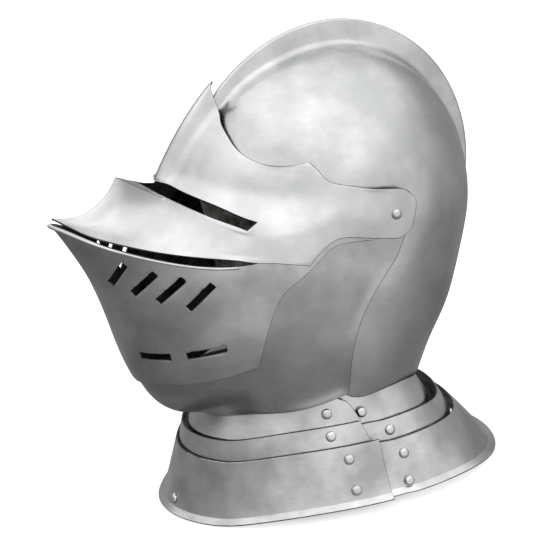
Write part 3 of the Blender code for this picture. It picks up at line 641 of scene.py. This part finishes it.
def relaxed(grid, columns, rows):
    """The grid with a fold between these columns and rows worn down, as a planishing hammer would."""
    weight = np.zeros(grid.shape[:2])
    for i, (first, last), reach in zip((0, 1), (columns, rows), FOLD_FADE):
        steps = np.arange(grid.shape[i])
        share = np.clip(np.minimum(steps - first, last - steps) / reach, 0, 1)
        weight = share[:, None] if i == 0 else weight * share[None, :]
    for _ in range(EASING_PASSES):
        bend = np.zeros_like(grid)
        bend[1:-1] += (grid[:-2] + grid[2:]) / 4 - grid[1:-1] / 2
        bend[:, 1:-1] += (grid[:, :-2] + grid[:, 2:]) / 4 - grid[:, 1:-1] / 2
        grid = grid + weight[:, :, None] * bend
    return grid


def flared(grid, inside, reach, lift, fade):
    """The grid with its last rows turned outward: the turn grows and dies away over four columns, fade."""
    steps = np.linalg.norm(np.diff(grid, axis=1), axis=2)[:, ::-1]
    run = np.concatenate([np.zeros((len(grid), 1)), np.cumsum(steps, axis=1)], axis=1)[:, ::-1]
    share = np.clip(1 - run / reach, 0, 1) ** 2
    share *= np.interp(np.arange(len(grid)), fade, (0, 1, 1, 0))[:, None]
    return grid + facings(grid, inside) * (lift * share)[:, :, None]


def add_right_half(bm):
    """Mirrors a sheet of the wearer's left side and joins the two along the middle line."""
    bmesh.ops.mirror(bm, geom=bm.verts[:] + bm.edges[:] + bm.faces[:], axis="X", merge_dist=ONE_POINT)
    bmesh.ops.remove_doubles(bm, verts=bm.verts, dist=ONE_POINT)


def rolled_edge(grid, inside, last):
    """The bead rolled along a plate's top edge, from the middle line to a square end at the last column."""
    out = facings(grid, inside)[: last + 1, 0]
    edge = grid[: last + 1, 0]
    down = grid[: last + 1, 1] - edge
    down -= out * (down * out).sum(axis=1)[:, None]
    down /= np.linalg.norm(down, axis=1)[:, None]
    out[0, 0] = down[0, 0] = 0

    def place(column, row):
        turn = 2 * pi * row / BEAD_SIDES
        low, proud = BEAD_LOW + BEAD_RADIUS * cos(turn), BEAD_PROUD + BEAD_RADIUS * sin(turn)
        return edge[column] + down[column] * low + out[column] * proud

    bm = sheet(grid_of(last, BEAD_SIDES, place))
    add_right_half(bm)
    bmesh.ops.holes_fill(bm, edges=bm.edges, sides=0)
    bmesh.ops.recalc_face_normals(bm, faces=bm.faces)
    return bm


def sheet(grid, open_face=None):
    """A bmesh sheet through a grid of points, columns by rows, without the faces that open_face names."""
    columns, rows = len(grid) - 1, len(grid[0]) - 1
    bm = bmesh.new()
    bmesh.ops.create_grid(bm, x_segments=columns, y_segments=rows, size=1)

    def station(place):
        return (place.x + 1) / 2 * columns, (place.y + 1) / 2 * rows

    cut = [face for face in bm.faces if open_face and open_face(*station(face.calc_center_median()))]
    for vert in bm.verts:
        column, row = station(vert.co)
        vert.co = grid[round(column)][round(row)]
    bmesh.ops.delete(bm, geom=cut, context="FACES")
    return bm


def as_object(name, bm, materials):
    """A bmesh as an object of the scene, at the origin."""
    mesh = bpy.data.meshes.new(name)
    bm.to_mesh(mesh)
    bm.free()
    for material in materials:
        mesh.materials.append(material)
    obj = bpy.data.objects.new(name, mesh)
    bpy.context.scene.collection.objects.link(obj)
    return obj


def new_piece(name, bm, body, materials):
    """A bmesh, in millimetres about the pivot, as an object that rides on a body of the frame."""
    bmesh.ops.scale(bm, vec=(MM, MM, MM), verts=bm.verts)
    bmesh.ops.translate(bm, vec=PIVOT, verts=bm.verts)
    obj = as_object(name, bm, materials)
    obj.data.shade_smooth()
    obj.data.set_sharp_from_angle(angle=radians(SHARP_TURN))
    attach(obj, body)
    return obj


def add_modifier(obj, kind, **settings):
    """One more step of the modifiers that finish a piece."""
    step = obj.modifiers.new(kind.lower(), kind)
    for key, value in settings.items():
        setattr(step, key, value)


def plate(node, bm, body, finish, inside=HEAD_INSIDE, lining=INSIDE_STEEL):
    """A plate of steel grown inward from the left half of its outer sheet, with its edges rounded."""
    add_right_half(bm)
    face_outward(bm, inside)
    obj = new_piece(node + "_plate", bm, body, [finish, lining, SHADED_EDGE_STEEL])
    # the rim that the thickness gives, and the rounding of the sharp edges, take the edge finish's painted
    # shade
    add_modifier(obj, "SOLIDIFY", thickness=STEEL * MM, offset=-1, use_even_offset=True,
                 use_quality_normals=True, material_offset=INSIDE_SLOT, material_offset_rim=SHADED_EDGE_SLOT)
    add_modifier(obj, "BEVEL", width=EDGE_ROUND * MM, segments=2, limit_method="ANGLE",
                 angle_limit=radians(ROUNDED_TURN), material=SHADED_EDGE_SLOT, use_clamp_overlap=False)
    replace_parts(obj, node)
    return obj


def spread(columns, last, centre, corner):
    """Stations for columns that lie evenly along a plate's centre line, with one right at its corner."""
    samples = np.linspace(0, last, LENGTH_STEPS)
    points = np.array([centre(station) for station in samples])
    run = np.concatenate([[0], np.cumsum(np.linalg.norm(np.diff(points, axis=0), axis=1))])
    stations = np.interp(np.linspace(0, run[-1], columns + 1), run, samples)
    stations[np.argmin(abs(stations - corner))] = corner
    return stations


def with_end(shell, edge, angles, radius):
    """An edge in the disc, carried on round the plate's end at a radius about the pivot."""
    rounded = [on_disc(angle, shell.share(angle, radius)) for angle in angles]
    return [on_disc(*point) for point in edge] + rounded


def banded(shell, upper, lower, ends, radius, columns, rows, corner):
    """The grid of a plate that runs from the middle line back to a round end about the pivot."""
    top_points = with_end(shell, upper, [end[0] for end in ends], radius)
    foot_points = with_end(shell, lower, [end[1] for end in ends], radius)
    top = rail(top_points)
    foot = rail(foot_points, corner)

    def centre(station):
        return shell.disc(mix(top(station), foot(station), 0.5))

    stations = spread(columns, len(top_points) - 1, centre, corner)

    def place(column, row):
        down = row / rows
        if column == 0:
            return shell.point(mix(upper[0][0], lower[0][0], down), 1.0)
        first, second = top(stations[column]), foot(stations[column])
        near_pivot = smooth(ROWS_TURN * column / columns)
        return shell.disc(mix(swept(first, second, down), mix(first, second, down), near_pivot))

    return grid_of(columns, rows, place)


# --- the skull
def skull_grid():
    """The skull's left half: the comb's rows first, then the bowl's, down to the face and neck edges."""
    comb_rows = len(COMB_SECTION) - 1
    face = rail([on_disc(*point) for point in FACE_EDGE])
    neck = rail([on_disc(*point) for point in NECK_EDGE])
    brow_foot = on_disc(BROW_ANGLE, SKULL.share_at(BROW_ANGLE, COMB_SECTION[-1][0]))
    corners = face(0), neck(len(NECK_EDGE) - 1)

    def foot_line(along):
        angle = mix(BROW_ANGLE, NAPE_ANGLE, along)
        return on_disc(angle, SKULL.share_at(angle, COMB_SECTION[-1][0]))

    def place(column, row):
        along = column / SKULL_COLUMNS
        angle = mix(BROW_ANGLE, NAPE_ANGLE, along)
        if row <= comb_rows:
            across, height = COMB_SECTION[row]
            point = lifted(SKULL, angle, SKULL.share_at(angle, across), COMB_TOP, height)
            return Vector((across, point.y, point.z))
        down = (row - comb_rows) / BOWL_ROWS
        between = mix(foot_line(along), face(along * (len(FACE_EDGE) - 1)), down)
        front = mix(brow_foot, corners[0], down)
        back = neck(down * (len(NECK_EDGE) - 1))
        across = mix(front, back, along)
        flat = mix(mix(brow_foot, foot_line(1), along), mix(corners[0], corners[1], along), down)
        return SKULL.disc(between + across - flat)

    return grid_of(SKULL_COLUMNS, comb_rows + BOWL_ROWS, place)


# --- the visor
def visor_grid():
    """The visor's left half: the face as far as the sight's end, then the arm back to the pivot."""
    top_points = with_end(VISOR, ARM_UPPER, [end[0] for end in VISOR_ENDS], VISOR_END)
    foot_points = with_end(VISOR, ARM_LOWER, [end[1] for end in VISOR_ENDS], VISOR_END)
    top_rail = rail(top_points)
    arm_foot = rail(foot_points, ARM_LOWER_CORNER)
    last, top_last = len(foot_points) - 1, len(top_points) - 1
    slower = (top_last - ARM_BEND) / (last - ARM_BEND)

    def arm_top(station):
        return top_rail(min(station, top_last - (last - station) * slower))

    def centre(station):
        return VISOR.disc(mix(arm_top(station), arm_foot(station), 0.5))

    stations = spread(ARM_COLUMNS, last, centre, ARM_LOWER_CORNER)
    known = np.linspace(0, FACE_STEPS, len(FACE_COLUMNS))
    face_columns = np.interp(np.arange(FACE_STEPS), known, FACE_COLUMNS)
    side = FACE_COLUMNS[-1]
    sill_row = UPPER_ROWS + 1
    rim_row = sill_row + SHELF_ROWS
    rim_end = VISOR.disc(on_disc(*SIGHT_END[2]))

    def above_sight(across, row):
        angle = mix(UPPER_EDGE(across), BROW_EDGE(across), row / UPPER_ROWS)
        share = VISOR.share_at(angle, across)
        if across >= RIDGE_SECTION[-1][0]:
            return VISOR.point(angle, share)
        point = lifted(VISOR, angle, share, RIDGE_TOP, RIDGE(across))
        return Vector((across, point.y, point.z))

    def sill(across):
        forward, up = SIGHT_SILL(across)
        return Vector((across, -forward, up))

    def beak(across, down):
        part = across / side
        rim = mix(Vector((0, -RIM_PEAK[0], RIM_PEAK[1])), rim_end, part)
        edge_x = BEAK_REACH * part
        forward, up = BEAK_EDGE(edge_x)
        edge = Vector((edge_x, -forward, up))
        chord = edge - rim
        inward = Vector((0, -chord.z, chord.y)).normalized()
        hollow = BEAK_HOLLOW(edge_x) - KEEL_RISE * (1 - smooth(edge_x / KEEL_REACH))
        return mix(rim, edge, down) + inward * (2 * down * (1 - down) * hollow)

    def face(across, row):
        if row <= UPPER_ROWS:
            return above_sight(across, row)
        if row < rim_row:
            return mix(sill(across), beak(across, 0), (row - sill_row) / SHELF_ROWS)
        return beak(across, (row - rim_row) / BEAK_ROWS)

    def side_spot(row):
        """Where the column at the sight's outer end meets each row, in the disc."""
        if row <= UPPER_ROWS:
            return swept(arm_top(0), on_disc(*SIGHT_END[0]), row / UPPER_ROWS)
        if row < rim_row:
            return mix(on_disc(*SIGHT_END[1]), on_disc(*SIGHT_END[2]), (row - sill_row) / SHELF_ROWS)
        return mix(on_disc(*SIGHT_END[2]), arm_foot(0), (row - rim_row) / BEAK_ROWS)

    def arm(column, row):
        along = column / ARM_COLUMNS
        station = stations[column]
        first = side_spot(row)
        part = (first - arm_top(0))[1] / (arm_foot(0) - arm_top(0))[1]
        bend = first - mix(arm_top(0), arm_foot(0), part)
        part = mix(part, row / VISOR_ROWS, smooth(along * ROWS_TURN))
        spot = mix(arm_top(station), arm_foot(station), part) + bend * (1 - smooth(along * BEND_FADE))
        # the arm's last columns bow out toward the circle that its end is part of
        round_end = smooth((along - BOW_START) / BOW_LENGTH) * END_BOW * 4 * part * (1 - part)
        return VISOR.disc(spot - on_disc(0, round_end * VISOR.share(180, VISOR_END)))

    meeting = [arm(0, row) - face(side, row) for row in range(VISOR_ROWS + 1)]

    def place(column, row):
        if column >= FACE_STEPS:
            return arm(column - FACE_STEPS, row)
        across = face_columns[column]
        return face(across, row) + meeting[row] * smooth((across - FACE_JOIN) / (side - FACE_JOIN))

    grid = grid_of(FACE_STEPS + ARM_COLUMNS, VISOR_ROWS, place)
    grid = evened(grid, *VISOR_JOIN, (0, UPPER_ROWS, sill_row, VISOR_ROWS))
    # the brow's edge is closed down on the skull, as far as the visor's cusp
    close = np.interp(np.arange(len(grid)), BROW_CLOSE_COLUMNS, BROW_CLOSE)[:, None]
    close = close * np.clip(1 - np.arange(VISOR_ROWS + 1) / BROW_CLOSE_ROWS, 0, 1)[None, :] ** 2
    grid = grid - facings(grid, HEAD_INSIDE) * close[:, :, None]
    return relaxed(grid, *TEMPLE)


def in_sight(column, row):
    """Whether a place on the visor's sheet lies in the sight, which is left open."""
    return column < FACE_STEPS and UPPER_ROWS < row < UPPER_ROWS + 1


# --- the ventail's slots
def slot_frame(upper_angle, upper_share, lower_angle, lower_share):
    """A slot's centre, its direction down its length and across its width, and half its length."""
    top = VENTAIL.point(upper_angle, upper_share)
    foot = VENTAIL.point(lower_angle, lower_share)
    angle, share = (upper_angle + lower_angle) / 2, (upper_share + lower_share) / 2
    centre = VENTAIL.point(angle, share)
    long = (foot - top).normalized()
    facing = long.cross(VENTAIL.point(angle + 1, share) - centre).normalized()
    return centre, long, facing.cross(long), (foot - top).length / 2


def cut_slot(bm, centre, long, wide, half_length):
    """Cuts the sheet along a slot's four sides and takes out what lies between them."""
    def nearby():
        faces = [f for f in bm.faces if (f.calc_center_median() - centre).length < half_length + SLOT_MARGIN]
        edges = {edge for face in faces for edge in face.edges}
        return faces, faces + list(edges) + list({vert for edge in edges for vert in edge.verts})

    sides = [(long, half_length), (wide, SLOT_WIDTH / 2)]
    for axis, reach in sides:
        for sign in (1, -1):
            through = centre + axis * reach * sign
            bmesh.ops.bisect_plane(bm, geom=nearby()[1], dist=CUT_REACH, plane_co=through, plane_no=axis)
    inside = [
        face for face in nearby()[0]
        if all(abs((face.calc_center_median() - centre).dot(axis)) < reach for axis, reach in sides)
    ]
    bmesh.ops.delete(bm, geom=inside, context="FACES")
    around = [vert for vert in bm.verts if (vert.co - centre).length < half_length + SLOT_MARGIN]
    bmesh.ops.remove_doubles(bm, verts=around, dist=SLIVER)


# --- the gorget
def eased(rings):
    """The rings of a lame with more between them, so that its bends are round: each pass cuts them off."""
    rings = [np.array(ring, float) for ring in rings]
    for _ in range(RING_PASSES):
        pairs = zip(rings, rings[1:])
        between = [mix(first, second, part) for first, second in pairs for part in (0.25, 0.75)]
        rings = [rings[0], *between, rings[-1]]
    return rings


def ring_point(ring, turn):
    """A point of a gorget ring, turned so many degrees from the back of the neck."""
    height, half_width, front, back = ring
    turn = radians(turn)
    lean = mix(NECK_LEAN, BASE_LEAN, (height - NECK_Z) / (RIM_Z - NECK_Z))
    across = half_width * (1 + lean * cos(turn) + SQUARE * (cos(2 * turn) + 1)) * sin(turn)
    along = mix(back, -front, (1 - cos(turn)) / 2)
    arch = SIDE_ARCH * smooth((abs(sin(turn)) - ARCH_START) / (1 - ARCH_START))
    return Vector((across, along, height + arch))


def lame_grid(rings, first, ends, drop):
    """A lame's left half, from its first turn to its end at the side of the neck."""
    top, foot = rings[0][0], rings[-1][0]

    def place(column, row):
        down = (rings[row][0] - top) / (foot - top)
        end = mix(*ends, down)
        turn = mix(first, end, column / LAME_COLUMNS)
        point = ring_point(rings[row], turn)
        if column == 0:
            point.x = 0
        elif first < end:
            point.x -= TUCK * smooth((turn - TUCK_START) / (TUCK_END - TUCK_START))
        rounding = smooth((CORNER_START - turn) / (CORNER_START - CORNER_END))
        point.z -= drop * (1 - down) ** DROP_FADE * rounding
        return point

    return grid_of(LAME_COLUMNS, len(rings) - 1, place)


def on_lame(rings, turn, height):
    """The point of a lame's outer face at a turn and a height, and the way that it faces there."""
    def at(angle, level):
        rises = [ring_point(ring, angle).z for ring in rings]
        i = next(i for i in range(len(rings) - 1) if rises[i + 1] <= level or i == len(rings) - 2)
        part = (rises[i] - level) / (rises[i] - rises[i + 1])
        return mix(ring_point(rings[i], angle), ring_point(rings[i + 1], angle), part)

    point = at(turn, height)
    facing = (at(turn + 1, height) - at(turn - 1, height)).cross(at(turn, height - 1) - at(turn, height + 1))
    facing.normalize()
    return point, facing if facing.dot(point - NECK_INSIDE) > 0 else -facing


# --- rivets and pivots
def turned(profile):
    """A bmesh turned about +Z from a profile of (radius, height)."""
    bm = bmesh.new()
    verts = [bm.verts.new((radius, 0, height)) for radius, height in profile]
    edges = [bm.edges.new(pair) for pair in zip(verts, verts[1:])]
    bmesh.ops.spin(bm, geom=verts + edges, axis=(0, 0, 1), cent=(0, 0, 0), angle=2 * pi, steps=TURNED_SIDES,
                   use_merge=True)
    bmesh.ops.remove_doubles(bm, verts=bm.verts, dist=ONE_POINT)
    bmesh.ops.recalc_face_normals(bm, faces=bm.faces)
    return bm


def dome(radius, rise):
    """The profile of a hammered head, from its crown down to a foot that turns in under it."""
    arc = [radians(90 * i / DOME_STEPS) for i in range(DOME_STEPS + 1)]
    crown = [(radius * sin(angle) ** DOME_FULLNESS, rise * cos(angle)) for angle in arc]
    return crown + [(radius * HEAD_FOOT[0], HEAD_FOOT[1])]


def stand(bm, point, facing):
    """Puts a turned bmesh's foot at a point, facing away from the steel."""
    turn = Vector((0, 0, 1)).rotation_difference(facing).to_matrix()
    bmesh.ops.rotate(bm, cent=(0, 0, 0), matrix=turn, verts=bm.verts)
    bmesh.ops.translate(bm, vec=point, verts=bm.verts)


def add_rivet(node, point, facing, body):
    """A rivet: its hammered head on the lame, its shank, and its tail inside."""
    tail = [(RIVET_HEAD * share, height) for share, height in RIVET_TAIL]
    bm = turned(dome(RIVET_HEAD * HEAD_SPREAD, RIVET_RISE) + tail)
    stand(bm, point + facing * RIVET_SEAT, facing)
    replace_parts(new_piece(node + "_head", bm, body, [RIVET_STEEL]), node)


def add_pivot(side, sign):
    """A pivot: its domed head, its shank through the plates, and the washer inside them."""
    low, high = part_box("pivot_" + side)
    depth = (high.x - low.x) / MM - PIVOT_RISE
    thin, wide = PIVOT_HEAD * PIVOT_SHANK, PIVOT_HEAD * WASHER
    shank = [(thin, SHANK_TOP), (thin, -depth + WASHER_DEEP), (wide, -depth + WASHER_DEEP), (wide, -depth),
             (0, -depth)]
    bm = turned(dome(PIVOT_HEAD, PIVOT_RISE) + shank)
    facing = Vector((sign, 0, 0))
    stand(bm, facing * (VISOR_HALF_WIDTH + PIVOT_SEAT), facing)
    node = "pivot_" + side
    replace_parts(new_piece(node + "_head", bm, "skull_body", [RIVET_STEEL]), node)


def add_gorget(prefix, lames, rivets, first, body):
    """One half of the gorget: its lames, and the rivets through them."""
    rings = {name: eased(rows) for name, rows in lames.items()}
    for name in lames:
        ends = LAME_ENDS.get(name, (REAR_END, REAR_END))
        grid = lame_grid(rings[name], first, ends, CORNER_DROP.get(name, 0))
        if not name.endswith("lower"):
            # the margin hidden under the next lame reaches down, so that no light shows between them
            away = np.arange(LAME_COLUMNS + 1)[::-1] / LAME_COLUMNS
            grid[:, -1, 2] -= LAME_MARGIN * np.clip(MARGIN_FADE * away, 0, 1)
        plate(name, sheet(grid), body, LAME_STEEL, NECK_INSIDE)
    for key, (lame, turn, height) in rivets.items():
        point, facing = on_lame(rings[lame], turn, height)
        for side, sign in SIDES.items():
            flip = Vector((sign, 1, 1))
            add_rivet(f"{prefix}_rivet_{key}_{side}", point * flip, facing * flip, body)


ventail_grid = banded(VENTAIL, VENTAIL_UPPER, VENTAIL_LOWER, VENTAIL_ENDS, VENTAIL_END, VENTAIL_COLUMNS,
                      VENTAIL_ROWS, VENTAIL_CORNER)
ventail_sheet = sheet(ventail_grid)
for slot in SLOTS:
    cut_slot(ventail_sheet, *slot_frame(*slot))
bevor_grid = banded(BEVOR, BEVOR_UPPER, BEVOR_LOWER, BEVOR_ENDS, BEVOR_END, BEVOR_COLUMNS, BEVOR_ROWS,
                    BEVOR_CORNER)
bevor_grid = relaxed(bevor_grid, *BEVOR_FOLD)
bevor_sheet = sheet(flared(bevor_grid, HEAD_INSIDE, BEVOR_FLARE, BEVOR_LIFT, BEVOR_FADE))
plate("skull", sheet(skull_grid()), "skull_body", SKULL_STEEL, lining=SKULL_INSIDE_PAINTED_LIGHT)
plate("visor", sheet(visor_grid(), in_sight), "visor_body", VISOR_STEEL)
plate("ventail", ventail_sheet, "ventail_body", VENTAIL_STEEL)
plate("bevor", bevor_sheet, "bevor_body", BEVOR_STEEL)
bead = rolled_edge(ventail_grid, HEAD_INSIDE, BEAD_COLUMNS)
new_piece("ventail_rolled_edge", bead, "ventail_body", [VENTAIL_STEEL])
add_gorget("front", FRONT_LAMES, FRONT_RIVETS, 180, "bevor_body")
add_gorget("rear", REAR_LAMES, REAR_RIVETS, 0, "skull_body")
lame, turn, height = FRONT_CENTRE_RIVET
add_rivet("front_rivet_centre", *on_lame(eased(FRONT_LAMES[lame]), turn, height), "bevor_body")
for side, sign in SIDES.items():
    add_pivot(side, sign)


# --- the studio
def studio_sky():
    """Soft light from overhead and from one wide lamp beside the helmet, over a dim room."""
    world = bpy.data.worlds.new("studio_sky")
    bpy.context.scene.world = world
    sky = Finish(world)
    direction = sky.add("ShaderNodeTexCoord", out="Generated")

    def glow(toward, rows):
        """Light whose brightness follows how nearly a direction points toward the middle of a lamp."""
        near = sky.add("ShaderNodeVectorMath", (direction, toward), out="Value", operation="DOT_PRODUCT")
        share = sky.add("ShaderNodeMapRange", {"Value": near, "From Min": -1})
        ramp = sky.add("ShaderNodeValToRGB", {"Fac": share})
        elements = ramp.node.color_ramp.elements
        elements.remove(elements[1])
        elements[0].position, elements[0].color = 0, (rows[0][1],) * 3 + (1,)
        for nearness, shade in rows[1:]:
            elements.new((nearness + 1) / 2).color = (shade, shade, shade, 1)
        return ramp

    turn, rise = radians(LAMP_TURN), radians(LAMP_RISE)
    lamp = sin(turn) * cos(rise), -cos(turn) * cos(rise), sin(rise)
    lights = {0: 1, 6: glow((0, 0, 1), OVERHEAD), 7: glow(lamp, LAMP)}
    both = sky.add("ShaderNodeMix", lights, out=2, data_type="RGBA", blend_type="SCREEN")
    room = sky.nodes["Background"]
    sky.fill(room, {"Color": both, "Strength": SKY_STRENGTH})
    # behind the helmet hangs the same white paper that it stands on
    paper = sky.add("ShaderNodeBackground", {"Color": linear("#FFFFFF")})
    seen = sky.add("ShaderNodeLightPath", out="Is Camera Ray")
    surface = sky.add("ShaderNodeMixShader", (seen, room.outputs["Background"], paper))
    sky.fill(sky.nodes["World Output"], {"Surface": surface})


def pale_floor():
    """Paper under the helmet, far wider than the view."""
    # white paper, matt and lit from behind, so that the helmet casts only a faint shadow on it; the light is
    # a third weaker inside the helmet's foot, so that less of it comes out through the openings
    paper = Finish(bpy.data.materials.new("white_paper"))
    place = paper.add("ShaderNodeTexCoord", out="Object")
    spot = paper.add("ShaderNodeMapping", {"Vector": place, "Location": STAND_SHIFT, "Scale": STAND_SHRINK})
    apart = paper.add("ShaderNodeVectorMath", (spot,), out="Value", operation="LENGTH")
    glow = paper.add("ShaderNodeMapRange", (apart, *STAND_RIM, STAND_GLOW, PAPER_GLOW))
    face = {"Base Color": linear("#C8C8C8"), "Roughness": 0.9, "Emission Color": linear("#FFFFFF"),
            "Emission Strength": glow}
    paper.fill(paper.nodes["Principled BSDF"], face)
    bm = bmesh.new()
    bmesh.ops.create_grid(bm, x_segments=1, y_segments=1, size=FLOOR_REACH)
    floor = as_object("floor", bm, [paper.owner])
    # the steel mirrors the dark under the sky instead of the paper, as it would on a narrow stand
    floor.visible_glossy = False


def aim_camera():
    """A long lens well off to the wearer's left front, a little above the helmet and tilted to one side."""
    turn, rise, tilt = radians(VIEW_TURN), radians(VIEW_RISE), radians(VIEW_TILT)
    back = Vector((cos(turn) * cos(rise), -sin(turn) * cos(rise), sin(rise)))
    level = Vector((sin(turn), cos(turn), 0))
    upright = back.cross(level)
    right = level * cos(tilt) + upright * sin(tilt)
    up = upright * cos(tilt) - level * sin(tilt)
    camera = bpy.data.objects.new("camera", bpy.data.cameras.new("camera"))
    camera.data.lens = VIEW_LENS
    camera.matrix_world = Matrix.Translation(VIEW_PLACE) @ Matrix((right, up, back)).transposed().to_4x4()
    bpy.context.scene.collection.objects.link(camera)
    bpy.context.scene.camera = camera


studio_sky()
pale_floor()
aim_camera()
bpy.context.scene.view_settings.view_transform = "Standard"
